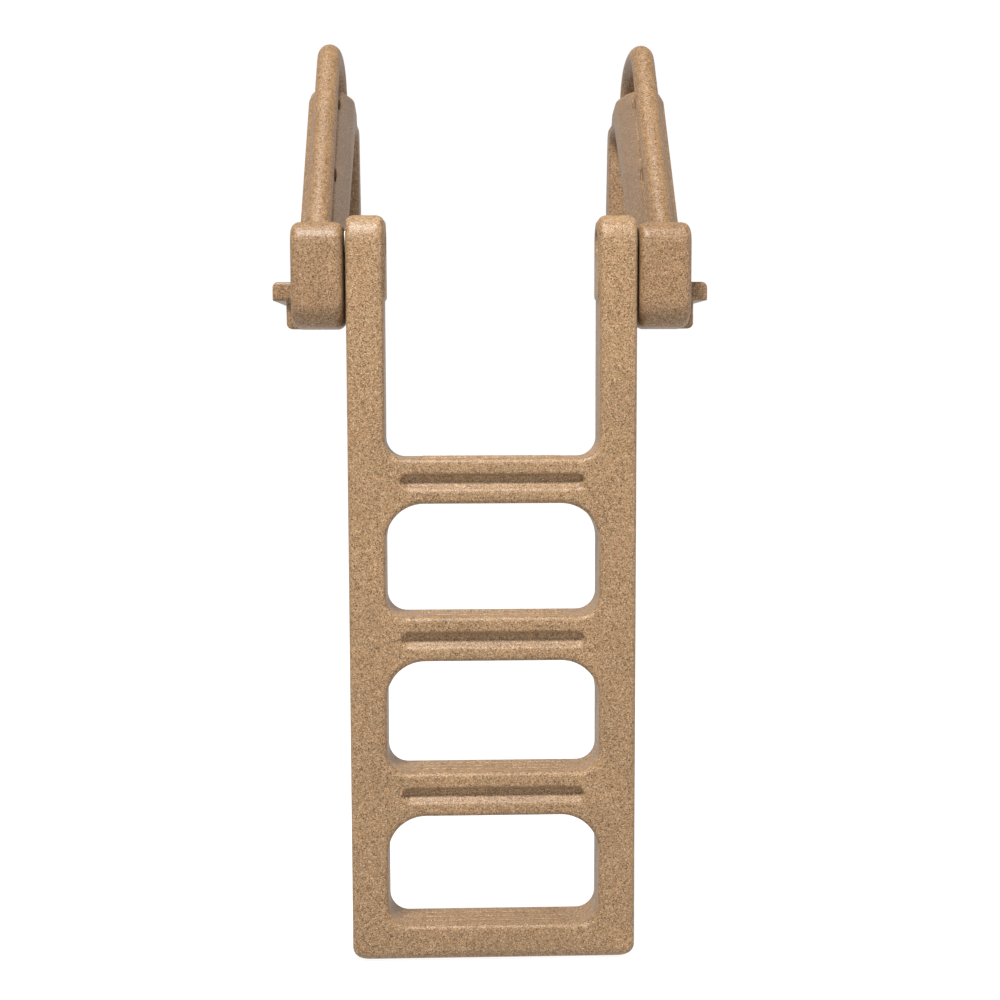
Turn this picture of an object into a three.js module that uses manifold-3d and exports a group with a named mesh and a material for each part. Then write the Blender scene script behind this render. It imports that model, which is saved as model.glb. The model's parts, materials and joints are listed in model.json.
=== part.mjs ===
// Deck-mounted pool ladder, in millimetres.
// A hollow-moulded resin ladder hangs in the pool from two moulded handrails that stand on the deck.
// It turns on two hinge bolts, so it can be swung out of the water and laid back on the deck.
// Frame: x = 0 is the plane of symmetry, y = 0 the deck's front edge with the pool at -y,
// and z = 0 the deck surface.

import * as THREE from 'three';
import { mergeVertices } from 'three/addons/utils/BufferGeometryUtils.js';
import Module from 'manifold-3d';

const wasm = await Module();
wasm.setup();
const { Manifold, Mesh: SolidMesh } = wasm;

// ---------------------------------------------------------------- driving dimensions

// ladder moulding
const RUNG_PITCH = 254;
const TREADS = 3;
const LADDER_HALF = 230;
const UPRIGHT_WIDTH = 59;
const LADDER_FRONT = -100;
const LADDER_DEPTH = 90;
const FIRST_TREAD_Z = -251.5;
const TREAD_HEIGHT = 72.5;
const BOTTOM_RAIL_HEIGHT = 59.5;
const EDGE_BEVEL = 8;
const WINDOW_HEAD_RADIUS = 62;
const WINDOW_SILL_RADIUS = 32;
const UPRIGHT_TOP_CORNER = 13;
const FOOT_CORNER = 28;
const FOOT_FRONT_RADIUS = 24;
const FOOT_REAR_RADIUS = 12;

// toe groove in each tread's front, and the ridges on its top
const GROOVE_RADIUS = 12.2;
const GROOVE_HALF = 147;
const GROOVE_DROP = 37;
const RIDGE_COUNT = 3;
const RIDGE_HALF = 120;
const RIDGE_WIDTH = 4;
const RIDGE_HEIGHT = 1.6;
const RIDGE_PITCH = 18;

// hinge
const HINGE_Y = -55;
const HINGE_Z = 91;
const HINGE_PAD = 3;
const HINGE_PAD_RADIUS = 34;
const HEAD_RECESS_RADIUS = 19;
const HEAD_RECESS_DEPTH = 15;
const BOLT_RADIUS = 6;
const BUSH_RADIUS = 10;
const RUNNING_CLEARANCE = 0.1;
const FIT_GAP = 0.3;
const NUT_POCKET_RADIUS = 20;
const NUT_POCKET_DEPTH = 22;

// handrail moulding
const RAIL_X = 276.5;
const BODY_INNER_HALF = 40.5;
const BODY_OUTER_HALF = 31.5;
const BODY_NOSE_HALF = 21.5;
const WEDGE_START = 8;
const WEDGE_END = 104;
const BODY_BEVEL = 7;
const BLOCK_INNER = 233.5;
const BLOCK_OUTER = 316.5;
const BLOCK_TOP = 122;
const BLOCK_BOTTOM = -45;
const BLOCK_BEVEL = 9;
const LIP_OUTER = 330.5;
const LIP_DEPTH = 22;
const TUBE_RADIUS = 20;
const BASE_HEIGHT = 30;
const BASE_INNER = 236;
const BASE_OUTER = 351.5;
const BASE_FRONT = -34;
const BASE_REAR = 478;
const SLIT_LENGTH = 36;
const SLIT_WIDTH = 6;
const SLIT_DEPTH = 22;
const SLITS_ALONG_LEG = [132, 304];

// deck screws, three along each base flange
const DECK_SCREW_X = 332;
const DECK_SCREW_Y = [24, 230, 436];
const DECK_SCREW_RADIUS = 4;
const DECK_SCREW_LENGTH = 45;
const SCREW_RECESS_RADIUS = 12;
const SCREW_RECESS_DEPTH = 11;

// rubber wall bumpers and the plugs of the hollow moulding
const BUMPER_Z = -985;
const BUMPER_RADIUS = 22;
const BUMPER_LENGTH = 28;
const FILL_PLUG_Z = -70;
const DRAIN_PLUG_Z = -1043;
const PLUG_RADIUS = 15;
const PLUG_DEPTH = 10;

const UPRIGHT_INNER = LADDER_HALF - UPRIGHT_WIDTH;
const UPRIGHT_X = LADDER_HALF - UPRIGHT_WIDTH / 2;
const LADDER_REAR = LADDER_FRONT + LADDER_DEPTH;
const TOP_RADIUS = LADDER_DEPTH / 2;
const LADDER_TOP = HINGE_Z + TOP_RADIUS;
const LADDER_BOTTOM = FIRST_TREAD_Z - TREADS * RUNG_PITCH - BOTTOM_RAIL_HEIGHT;

// ---------------------------------------------------------------- materials

const resin = new THREE.MeshStandardMaterial({ color: 0xb2916d, roughness: 0.62, metalness: 0 });
const steel = new THREE.MeshStandardMaterial({ color: 0xb9bcc0, roughness: 0.35, metalness: 0.9 });
const nylon = new THREE.MeshStandardMaterial({ color: 0xd8d4c8, roughness: 0.5, metalness: 0 });
const trim = new THREE.MeshStandardMaterial({ color: 0x8e7355, roughness: 0.6, metalness: 0 });
const rubber = new THREE.MeshStandardMaterial({ color: 0x2c2b2a, roughness: 0.85, metalness: 0 });

const group = new THREE.Group();
group.name = 'pool_ladder';

// ---------------------------------------------------------------- helpers

function weld(geometry) {
  geometry.deleteAttribute('normal');
  geometry.deleteAttribute('uv');
  return mergeVertices(geometry, 1e-4);
}

function solid(geometry) {
  const welded = weld(geometry);
  const index = welded.index.array;
  const mesh = new SolidMesh({
    numProp: 3,
    vertProperties: new Float32Array(welded.attributes.position.array),
    triVerts: new Uint32Array(index),
  });
  return new Manifold(mesh);
}

function toGeometry(manifold) {
  const mesh = manifold.getMesh();
  const geometry = new THREE.BufferGeometry();
  geometry.setAttribute('position', new THREE.BufferAttribute(new Float32Array(mesh.vertProperties), 3));
  geometry.setIndex(new THREE.BufferAttribute(new Uint32Array(mesh.triVerts), 1));
  return geometry;
}

function union(solids) {
  return solids.reduce((sum, item) => sum.add(item));
}

function addPart(name, manifold, material) {
  const geometry = toGeometry(manifold);
  geometry.computeVertexNormals();
  const mesh = new THREE.Mesh(geometry, material);
  mesh.name = name;
  group.add(mesh);
}

function extrude(shape, length, bevel, curveSegments = 5, bevelSegments = 2) {
  return new THREE.ExtrudeGeometry(shape, {
    depth: length - 2 * bevel,
    bevelEnabled: bevel > 0,
    bevelThickness: bevel,
    bevelSize: bevel,
    bevelOffset: -bevel,
    bevelSegments,
    curveSegments,
  }).translate(0, 0, bevel);
}

// Solid from a front view drawn in (x, z), reaching from yFront to yRear.
function fromFront(shape, yFront, yRear, bevel, curveSegments) {
  const geometry = extrude(shape, yRear - yFront, bevel, curveSegments);
  geometry.rotateX(Math.PI / 2);
  return solid(geometry.translate(0, yRear, 0));
}

// Solid from a side view drawn in (y, z), reaching from xLow to xHigh.
function fromSide(shape, xLow, xHigh, bevel, curveSegments) {
  const geometry = extrude(shape, xHigh - xLow, bevel, curveSegments);
  geometry.rotateX(Math.PI / 2).rotateZ(Math.PI / 2);
  return solid(geometry.translate(xLow, 0, 0));
}

// Closed outline with a rounded corner at each [a, b, radius].
function rounded(corners) {
  const shape = new THREE.Shape();
  const count = corners.length;
  corners.forEach(([a, b, radius], i) => {
    const corner = new THREE.Vector2(a, b);
    const before = new THREE.Vector2(...corners[(i + count - 1) % count].slice(0, 2));
    const after = new THREE.Vector2(...corners[(i + 1) % count].slice(0, 2));
    const toBefore = before.sub(corner).normalize();
    const toAfter = after.sub(corner).normalize();
    const halfAngle = Math.acos(THREE.MathUtils.clamp(toBefore.dot(toAfter), -1, 1)) / 2;
    const reach = radius / Math.tan(halfAngle);
    const start = corner.clone().addScaledVector(toBefore, reach);
    const end = corner.clone().addScaledVector(toAfter, reach);
    if (i === 0) {
      shape.moveTo(start.x, start.y);
    } else {
      shape.lineTo(start.x, start.y);
    }
    if (radius > 0) {
      shape.bezierCurveTo(
        start.x + (corner.x - start.x) * 0.56, start.y + (corner.y - start.y) * 0.56,
        end.x + (corner.x - end.x) * 0.56, end.y + (corner.y - end.y) * 0.56,
        end.x, end.y,
      );
    }
  });
  shape.closePath();
  return shape;
}

function asHole(shape) {
  return new THREE.Path(shape.getPoints(5));
}

function cylinderX(radius, xLow, xHigh, y, z, segments = 24) {
  const geometry = new THREE.CylinderGeometry(radius, radius, xHigh - xLow, segments);
  geometry.rotateZ(Math.PI / 2);
  return solid(geometry.translate((xLow + xHigh) / 2, y, z));
}

function cylinderY(radius, yLow, yHigh, x, z, segments = 20) {
  return solid(new THREE.CylinderGeometry(radius, radius, yHigh - yLow, segments)
    .translate(x, (yLow + yHigh) / 2, z));
}

function cylinderZ(radius, zLow, zHigh, x, y, segments = 16) {
  const geometry = new THREE.CylinderGeometry(radius, radius, zHigh - zLow, segments);
  geometry.rotateX(Math.PI / 2);
  return solid(geometry.translate(x, y, (zLow + zHigh) / 2));
}

function box(xLow, xHigh, yLow, yHigh, zLow, zHigh) {
  return solid(new THREE.BoxGeometry(xHigh - xLow, yHigh - yLow, zHigh - zLow)
    .translate((xLow + xHigh) / 2, (yLow + yHigh) / 2, (zLow + zHigh) / 2));
}

function capsuleX(radius, half, x, y, z) {
  const geometry = new THREE.CapsuleGeometry(radius, 2 * (half - radius), 3, 16);
  geometry.rotateZ(Math.PI / 2);
  return solid(geometry.translate(x, y, z));
}

function tubeAlong(curve, radius, steps) {
  const ring = new THREE.Shape();
  ring.absarc(0, 0, radius, 0, 2 * Math.PI);
  return solid(new THREE.ExtrudeGeometry(ring, {
    steps,
    extrudePath: curve,
    bevelEnabled: false,
    curveSegments: 8,
  }));
}

// ---------------------------------------------------------------- ladder moulding

function ladderOutline() {
  const notchSill = FIRST_TREAD_Z;
  const shape = rounded([
    [-LADDER_HALF, LADDER_BOTTOM, FOOT_CORNER],
    [LADDER_HALF, LADDER_BOTTOM, FOOT_CORNER],
    [LADDER_HALF, LADDER_TOP, UPRIGHT_TOP_CORNER],
    [UPRIGHT_INNER, LADDER_TOP, UPRIGHT_TOP_CORNER],
    [UPRIGHT_INNER, notchSill, WINDOW_SILL_RADIUS],
    [-UPRIGHT_INNER, notchSill, WINDOW_SILL_RADIUS],
    [-UPRIGHT_INNER, LADDER_TOP, UPRIGHT_TOP_CORNER],
    [-LADDER_HALF, LADDER_TOP, UPRIGHT_TOP_CORNER],
  ]);
  for (let i = 0; i < TREADS; i += 1) {
    const head = FIRST_TREAD_Z - TREAD_HEIGHT - i * RUNG_PITCH;
    const sill = FIRST_TREAD_Z - (i + 1) * RUNG_PITCH;
    shape.holes.push(asHole(rounded([
      [-UPRIGHT_INNER, sill, WINDOW_SILL_RADIUS],
      [UPRIGHT_INNER, sill, WINDOW_SILL_RADIUS],
      [UPRIGHT_INNER, head, WINDOW_HEAD_RADIUS],
      [-UPRIGHT_INNER, head, WINDOW_HEAD_RADIUS],
    ])));
  }
  return shape;
}

function ladderSide() {
  return rounded([
    [LADDER_FRONT, LADDER_BOTTOM, FOOT_FRONT_RADIUS],
    [LADDER_REAR, LADDER_BOTTOM, FOOT_REAR_RADIUS],
    [LADDER_REAR, LADDER_TOP, TOP_RADIUS - 0.01],
    [LADDER_FRONT, LADDER_TOP, TOP_RADIUS - 0.01],
  ]);
}

function hingePad(side) {
  const pad = rounded([
    [HINGE_Y - HINGE_PAD_RADIUS, 0, 10],
    [HINGE_Y + HINGE_PAD_RADIUS, 0, 10],
    [HINGE_Y + HINGE_PAD_RADIUS, HINGE_Z + HINGE_PAD_RADIUS, HINGE_PAD_RADIUS - 0.01],
    [HINGE_Y - HINGE_PAD_RADIUS, HINGE_Z + HINGE_PAD_RADIUS, HINGE_PAD_RADIUS - 0.01],
  ]);
  const face = UPRIGHT_INNER - HINGE_PAD;
  const xLow = side > 0 ? face : -UPRIGHT_INNER - 2;
  const xHigh = side > 0 ? UPRIGHT_INNER + 2 : -face;
  return fromSide(pad, xLow, xHigh, 0, 8);
}

function spanX(side, near, far) {
  return side > 0 ? [near, far] : [-far, -near];
}

function ladderFrame() {
  const slab = fromFront(ladderOutline(), LADDER_FRONT, LADDER_REAR, EDGE_BEVEL, 5);
  const side = fromSide(ladderSide(), -LADDER_HALF - 5, LADDER_HALF + 5, 0, 8);
  let frame = slab.intersect(side);
  for (let i = 0; i <= TREADS; i += 1) {
    const top = FIRST_TREAD_Z - i * RUNG_PITCH;
    const middle = (LADDER_FRONT + LADDER_REAR) / 2;
    for (let k = 0; k < RIDGE_COUNT; k += 1) {
      const y = middle + (k - (RIDGE_COUNT - 1) / 2) * RIDGE_PITCH;
      const ridge = box(-RIDGE_HALF, RIDGE_HALF, y - RIDGE_WIDTH / 2, y + RIDGE_WIDTH / 2,
        top - 2, top + RIDGE_HEIGHT);
      frame = frame.add(ridge);
    }
    if (i < TREADS) {
      frame = frame.subtract(capsuleX(GROOVE_RADIUS, GROOVE_HALF, 0, LADDER_FRONT, top - GROOVE_DROP));
    }
  }
  for (const side of [-1, 1]) {
    const face = UPRIGHT_INNER - HINGE_PAD;
    const x = side * UPRIGHT_X;
    const recess = spanX(side, face - 1, face + HEAD_RECESS_DEPTH);
    const bore = spanX(side, face - 1, LADDER_HALF + 1);
    frame = frame.add(hingePad(side));
    frame = frame.subtract(cylinderX(HEAD_RECESS_RADIUS, ...recess, HINGE_Y, HINGE_Z));
    frame = frame.subtract(cylinderX(BUSH_RADIUS + RUNNING_CLEARANCE, ...bore, HINGE_Y, HINGE_Z));
    for (const z of [FILL_PLUG_Z, DRAIN_PLUG_Z]) {
      const seat = LADDER_REAR - PLUG_DEPTH;
      frame = frame.subtract(cylinderY(PLUG_RADIUS + FIT_GAP, seat, LADDER_REAR + 1, x, z));
    }
    frame = frame.subtract(cylinderY(3.2, LADDER_REAR - 32, LADDER_REAR + 1, x, BUMPER_Z, 16));
  }
  return frame;
}

addPart('ladder_frame', ladderFrame(), resin);

// ---------------------------------------------------------------- handrail moulding

// Side view of the body: leaning panel, top bar, rear leg and base bar around one open bay.
const BODY_CORNERS = [
  [-40, 4, 10],
  [464, 4, 10],
  [462, 200, 30],
  [436, 347, 26],
  [364, 347, 8],
  [352, 365, 14],
  [300, 376, 40],
  [184, 376, 14],
  [-32, 104, 12],
];
const BAY_CORNERS = [
  [64, 66, 16],
  [398, 66, 26],
  [396, 326, 30],
  [320, 326, 12],
  [64, 100, 10],
];

// Centre line of the grab loop: up the leaning leg, over the top, down to the body.
const LEG_FOOT = [-30, 117];
const LEG_HEAD = [196, 399];
const LOOP_POINTS = [
  LEG_HEAD, [222, 430], [243, 441], [268, 446], [298, 447],
  [332, 444], [360, 436], [382, 421], [396, 403], [405, 380],
  [412, 356], [418, 330],
];

function loopCurve(x) {
  const points = LOOP_POINTS.map(([y, z]) => new THREE.Vector3(x, y, z));
  return new THREE.CatmullRomCurve3(points, false, 'centripetal');
}

function legCurve(x) {
  return new THREE.LineCurve3(
    new THREE.Vector3(x, ...LEG_FOOT),
    new THREE.Vector3(x, ...LEG_HEAD),
  );
}

// Upright prism with a straight outer side and an inner side that slants in towards the leaning leg.
function leaningWedge(side) {
  const wide = BODY_INNER_HALF + 1;
  const inner = (half, behind) => new THREE.Vector2(side * (RAIL_X - half), behind);
  const outer = (behind) => new THREE.Vector2(side * (RAIL_X + wide), behind);
  const plan = [
    inner(BODY_NOSE_HALF, -60),
    outer(-60),
    outer(700),
    inner(wide, 700),
    inner(wide, WEDGE_END),
    inner(BODY_NOSE_HALF, WEDGE_START),
  ];
  const geometry = new THREE.ExtrudeGeometry(new THREE.Shape(plan), { depth: 500, bevelEnabled: false });
  const lean = (LEG_HEAD[0] - LEG_FOOT[0]) / (LEG_HEAD[1] - LEG_FOOT[1]);
  const shear = new THREE.Matrix4().makeShear(0, 0, 0, 0, 0, lean);
  geometry.applyMatrix4(shear);
  return solid(geometry.translate(0, LEG_FOOT[0] - LEG_FOOT[1] * lean, 0));
}

function blockSide() {
  return rounded([
    [LADDER_FRONT, BLOCK_BOTTOM, 42],
    [-0.5, BLOCK_BOTTOM, 12],
    [-0.5, 0, 3],
    [60, 0, 12],
    [60, 100, 30],
    [-10, BLOCK_TOP, 40],
    [LADDER_FRONT, BLOCK_TOP, 34],
  ]);
}

// Thin lens-shaped pocket in the crease between the leg and the body's inner side.
function slit(x, alongLeg) {
  const direction = new THREE.Vector2(LEG_HEAD[0] - LEG_FOOT[0], LEG_HEAD[1] - LEG_FOOT[1]).normalize();
  const start = new THREE.Vector2(...LEG_FOOT).addScaledVector(direction, alongLeg);
  const geometry = new THREE.SphereGeometry(1, 10, 8);
  geometry.scale(SLIT_WIDTH / 2, SLIT_DEPTH / 2, SLIT_LENGTH / 2);
  geometry.rotateX(-Math.atan2(direction.x, direction.y));
  const offset = SLIT_DEPTH / 2;
  return solid(geometry.translate(x, start.x + offset * direction.y, start.y - offset * direction.x));
}

function handrail(side) {
  const low = RAIL_X - BODY_INNER_HALF;
  const high = RAIL_X + BODY_OUTER_HALF;
  const bodyShape = rounded(BODY_CORNERS);
  bodyShape.holes.push(asHole(rounded(BAY_CORNERS)));
  const x = side * RAIL_X;
  const plate = fromSide(bodyShape, ...spanX(side, low, high), BODY_BEVEL, 4);
  const body = plate.intersect(leaningWedge(side));
  const block = fromSide(blockSide(), ...spanX(side, BLOCK_INNER, BLOCK_OUTER), BLOCK_BEVEL, 5);
  const lipShape = rounded([
    [BLOCK_INNER + 6, BLOCK_BOTTOM, 6],
    [LIP_OUTER, BLOCK_BOTTOM, 10],
    [LIP_OUTER, 8, 3],
    [BLOCK_INNER + 6, 8, 3],
  ].map(([x, z, r]) => [side * x, z, r]));
  const lip = fromFront(lipShape, -LIP_DEPTH - 0.5, -0.5, 2, 4);
  const baseShape = rounded([
    [BASE_INNER, 0, 0],
    [BASE_OUTER, 0, 0],
    [BASE_OUTER, BASE_HEIGHT, 10],
    [BASE_INNER, BASE_HEIGHT, 6],
  ].map(([x, z, r]) => [side * x, z, r]));
  const base = fromFront(baseShape, BASE_FRONT, BASE_REAR, 0, 4);
  const leg = tubeAlong(legCurve(x), TUBE_RADIUS, 1);
  const loop = tubeAlong(loopCurve(x), TUBE_RADIUS, 20);
  let rail = union([body, block, lip, base, leg, loop]);

  const bore = spanX(side, BLOCK_INNER - 5, BLOCK_OUTER + 5);
  const nutPocket = spanX(side, BLOCK_OUTER - NUT_POCKET_DEPTH, BLOCK_OUTER + 5);
  rail = rail.subtract(cylinderX(BOLT_RADIUS + FIT_GAP, ...bore, HINGE_Y, HINGE_Z));
  rail = rail.subtract(cylinderX(NUT_POCKET_RADIUS, ...nutPocket, HINGE_Y, HINGE_Z));
  for (const y of DECK_SCREW_Y) {
    const at = [side * DECK_SCREW_X, y];
    rail = rail.subtract(cylinderZ(DECK_SCREW_RADIUS + 0.5, -1, BASE_HEIGHT + 1, ...at, 20));
    const seat = BASE_HEIGHT - SCREW_RECESS_DEPTH;
    rail = rail.subtract(cylinderZ(SCREW_RECESS_RADIUS, seat, BASE_HEIGHT + 1, ...at));
  }
  for (const alongLeg of SLITS_ALONG_LEG) {
    rail = rail.subtract(slit(x - side * (TUBE_RADIUS + 1.5), alongLeg));
  }
  return rail;
}

// ---------------------------------------------------------------- hinge hardware

function hexX(acrossFlats, xLow, xHigh, y, z) {
  return cylinderX(acrossFlats / Math.sqrt(3), xLow, xHigh, y, z, 6);
}

function ringX(outer, inner, xLow, xHigh) {
  const ring = cylinderX(outer, xLow, xHigh, HINGE_Y, HINGE_Z);
  return ring.subtract(cylinderX(inner, xLow - 1, xHigh + 1, HINGE_Y, HINGE_Z));
}

function hingeSide(side, word) {
  const recessFloor = UPRIGHT_INNER - HINGE_PAD + HEAD_RECESS_DEPTH;
  const nutFloor = BLOCK_OUTER - NUT_POCKET_DEPTH;
  const span = (near, far) => spanX(side, near, far);
  const washerNear = recessFloor - 2.3;
  const head = hexX(19, ...span(washerNear - 8.3, washerNear - 0.3), HINGE_Y, HINGE_Z);
  const shank = cylinderX(BOLT_RADIUS, ...span(washerNear - 1, BLOCK_OUTER - 7), HINGE_Y, HINGE_Z);
  addPart(`${word}_hinge_bolt`, head.add(shank), steel);
  addPart(`${word}_head_washer`, ringX(14, 6.5, ...span(washerNear, washerNear + 2)), steel);
  const bushSpan = span(recessFloor + 0.2, LADDER_HALF - 0.2);
  addPart(`${word}_hinge_bush`, ringX(BUSH_RADIUS, BOLT_RADIUS + RUNNING_CLEARANCE, ...bushSpan), nylon);
  addPart(`${word}_thrust_washer`, ringX(18, 6.5, ...span(LADDER_HALF + 0.4, BLOCK_INNER - 0.3)), nylon);
  addPart(`${word}_nut_washer`, ringX(14, 6.5, ...span(nutFloor + 0.3, nutFloor + 2.3)), steel);
  const nut = hexX(19, ...span(nutFloor + 2.6, nutFloor + 12.6), HINGE_Y, HINGE_Z);
  const nutBore = cylinderX(BOLT_RADIUS + 0.2, ...span(nutFloor, nutFloor + 20), HINGE_Y, HINGE_Z);
  addPart(`${word}_hinge_nut`, nut.subtract(nutBore), steel);
  const coverSpan = span(BLOCK_OUTER - 5, BLOCK_OUTER - 0.5);
  const cover = cylinderX(NUT_POCKET_RADIUS - FIT_GAP, ...coverSpan, HINGE_Y, HINGE_Z);
  addPart(`${word}_nut_cover`, cover, trim);
}

// ---------------------------------------------------------------- deck screws, bumpers and plugs

function deckScrews(side, word) {
  const seat = BASE_HEIGHT - SCREW_RECESS_DEPTH;
  const places = ['front', 'middle', 'rear'];
  DECK_SCREW_Y.forEach((y, i) => {
    const x = side * DECK_SCREW_X;
    const washer = cylinderZ(11, seat + 0.2, seat + 2.2, x, y)
      .subtract(cylinderZ(DECK_SCREW_RADIUS + 0.4, seat - 1, seat + 4, x, y));
    const head = cylinderZ(13 / Math.sqrt(3), seat + 2.5, seat + 8, x, y, 6);
    const shank = cylinderZ(DECK_SCREW_RADIUS, seat + 3 - DECK_SCREW_LENGTH, seat + 3, x, y, 18);
    addPart(`${word}_${places[i]}_deck_washer`, washer, steel);
    addPart(`${word}_${places[i]}_deck_screw`, head.add(shank), steel);
  });
}

function rearFittings(side, word) {
  const x = side * UPRIGHT_X;
  const face = LADDER_REAR + 0.3;
  const pad = cylinderY(BUMPER_RADIUS, face, face + BUMPER_LENGTH, x, BUMPER_Z)
    .subtract(cylinderY(8, face + 10, face + BUMPER_LENGTH + 1, x, BUMPER_Z, 20))
    .subtract(cylinderY(3.2, face - 1, face + 12, x, BUMPER_Z, 16));
  const screw = cylinderY(6, face + 10.3, face + 14.3, x, BUMPER_Z, 16)
    .add(cylinderY(2.8, LADDER_REAR - 28, face + 11, x, BUMPER_Z, 16));
  addPart(`${word}_wall_bumper`, pad, rubber);
  addPart(`${word}_bumper_screw`, screw, steel);
  for (const [kind, z] of [['fill', FILL_PLUG_Z], ['drain', DRAIN_PLUG_Z]]) {
    const disc = cylinderY(PLUG_RADIUS, LADDER_REAR - PLUG_DEPTH + 0.3, LADDER_REAR - 0.2, x, z);
    const slot = box(x - 10, x + 10, LADDER_REAR - 4, LADDER_REAR + 1, z - 1.5, z + 1.5);
    addPart(`${word}_${kind}_plug`, disc.subtract(slot), trim);
  }
}

for (const [side, word] of [[-1, 'left'], [1, 'right']]) {
  addPart(`${word}_handrail`, handrail(side), resin);
  hingeSide(side, word);
  deckScrews(side, word);
  rearFittings(side, word);
}

export default group;
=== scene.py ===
"""Pool ladder: smooth moulded shapes, hardware, materials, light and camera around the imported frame."""

import json
import math

import bmesh
import bpy
import numpy as np
from mathutils import Matrix, Vector


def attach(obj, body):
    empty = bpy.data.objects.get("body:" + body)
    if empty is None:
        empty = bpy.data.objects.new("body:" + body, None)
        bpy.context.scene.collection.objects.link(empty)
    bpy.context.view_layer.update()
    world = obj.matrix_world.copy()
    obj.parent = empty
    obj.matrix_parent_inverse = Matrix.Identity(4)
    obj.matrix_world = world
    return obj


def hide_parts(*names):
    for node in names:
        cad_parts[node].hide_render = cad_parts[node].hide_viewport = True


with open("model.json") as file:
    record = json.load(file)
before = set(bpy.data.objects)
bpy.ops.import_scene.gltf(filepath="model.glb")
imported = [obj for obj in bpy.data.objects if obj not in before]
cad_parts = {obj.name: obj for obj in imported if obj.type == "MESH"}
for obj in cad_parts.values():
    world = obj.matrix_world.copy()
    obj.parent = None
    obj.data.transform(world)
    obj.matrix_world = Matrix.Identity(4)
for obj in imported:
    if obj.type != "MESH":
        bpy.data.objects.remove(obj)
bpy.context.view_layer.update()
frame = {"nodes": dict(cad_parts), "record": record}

MM = 0.001
SIDES = ((-1, "left"), (1, "right"))

# ---------------------------------------------------------------- dimensions, in millimetres

# ladder moulding
LADDER_HALF = 230
UPRIGHT_INNER = 171
UPRIGHT_X = 200.5
LADDER_FRONT = -100
LADDER_REAR = -10
LADDER_TOP = 136
LADDER_BOTTOM = -1073
# what a round_max of two level faces takes off their common level
LEVEL_LOSS = 2.6
FIRST_TREAD = -251.5
RUNG_PITCH = 254
TREAD_HEIGHT = 72.5
TREADS = 3
GROOVE_DROP = 37
GROOVE_HALF = 147
GROOVE_RADIUS = 12.2
RIDGE_HALF = 120
RIDGE_PITCH = 18
HINGE_Y = -55
HINGE_Z = 91
HINGE_PAD = 3
HEAD_RECESS = 19
BOLT_RADIUS = 6
NUT_POCKET = 20
NUT_POCKET_DEPTH = 22
HEX_HALF = 9.5

# handrail moulding
RAIL_X = 276.5
# half widths of the body from its middle plane: inner side, outer side, and inner side at the leg
BODY_HALF = 40.5
BODY_OUTER_HALF = 31.5
BODY_NOSE_HALF = 21.5
# level distances behind the leg between which the inner side slants out
WEDGE_START = 8
WEDGE_END = 104
BLOCK_INNER = 233.5
BLOCK_OUTER = 316.5
BLOCK_BOTTOM = -45
LIP_OUTER = 330.5
BASE_INNER = 236
BASE_OUTER = 351.5
BASE_HEIGHT = 30
BASE_FRONT = -34
BASE_REAR = 478
DECK_SCREW_X = 332
DECK_SCREW_Y = (24, 230, 436)
SCREW_SEAT = 19

BODY_CORNERS = (
    (-40, 4, 10), (464, 4, 10), (462, 200, 30), (436, 347, 26), (364, 347, 8),
    (352, 365, 14), (300, 376, 40), (212, 376, 24), (170, 359, 12), (-32, 104, 12),
)
BAY_CORNERS = ((64, 66, 16), (398, 66, 26), (396, 326, 30), (320, 326, 12), (64, 100, 10))
BLOCK_CORNERS = (
    (-100, -45, 42), (-0.5, -45, 12), (-0.5, 0, 3), (60, 0, 12),
    (60, 100, 30), (-10, 122, 40), (-100, 122, 34),
)
LEG_FOOT = (-30, 117)
LEG_HEAD = (196, 399)
LOOP_POINTS = (
    (196, 399), (222, 430), (243, 441), (268, 446), (298, 447),
    (332, 444), (360, 436), (382, 421), (396, 403), (405, 380),
    (412, 356), (418, 330),
)
TUBE_RADIUS = 20
LOOP_TOP = 471
SLITS_ALONG_LEG = (132, 304)

# fittings on the ladder's rear
BUMPER_Z = -985
BUMPER_LENGTH = 28
PLUG_HEIGHTS = (("fill", -70), ("drain", -1043))


# ---------------------------------------------------------------- distance functions, in millimetres

def length(*parts):
    return np.sqrt(sum(part * part for part in parts))


def round_max(a, b, radius):
    """Where both shapes are, with a fillet of this radius along the edge they make."""
    return np.minimum(np.maximum(a, b), -radius) + length(
        np.maximum(a + radius, 0), np.maximum(b + radius, 0))


def round_min(a, b, radius):
    """Either shape, with a fillet of this radius in the corner between them."""
    return -round_max(-a, -b, radius)


def slab(value, low, high):
    return np.maximum(low - value, value - high)


def round_rect(u, v, u_low, u_high, v_low, v_high, low_radius, high_radius):
    """A rectangle with one corner radius at its low v end and another at its high v end."""
    u_mid = (u_low + u_high) / 2
    v_mid = (v_low + v_high) / 2
    radius = np.where(v > v_mid, high_radius, low_radius)
    qu = np.abs(u - u_mid) - (u_high - u_low) / 2 + radius
    qv = np.abs(v - v_mid) - (v_high - v_low) / 2 + radius
    return np.minimum(np.maximum(qu, qv), 0) + length(np.maximum(qu, 0), np.maximum(qv, 0)) - radius


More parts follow.
